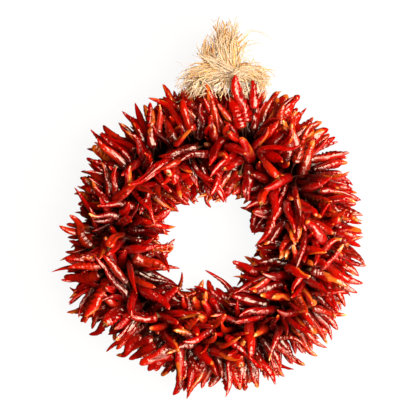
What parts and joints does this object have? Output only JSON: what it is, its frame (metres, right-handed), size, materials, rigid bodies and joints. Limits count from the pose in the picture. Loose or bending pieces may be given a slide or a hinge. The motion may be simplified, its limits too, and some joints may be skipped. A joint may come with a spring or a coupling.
{
  "type": "dried chilli wreath",
  "caption": "Round wreath of small dried red chillies tied so that every tip points outwards, with a bow of loose raffia at the top, lying on its back.",
  "frame": {"origin": "middle of the footprint of the whole wreath, at the height of the flat back that it lies on", "axes": "+Z out of the side that shows, +Y towards the raffia bow at the wreath's top, +X to the right seen from the side that shows"},
  "size_m": [0.348, 0.427, 0.0977],
  "materials": {
    "chilli_skin": "glossy wrinkled dried skin, from near black red to scarlet, some tips faded to orange",
    "raffia_straw": "dry fibrous palm ribbon with a slight sheen"
  },
  "bodies": {
    "root": {"chilli_ring": "chilli_skin", "raffia_bow": "raffia_straw"}
  },
  "joints": []
}
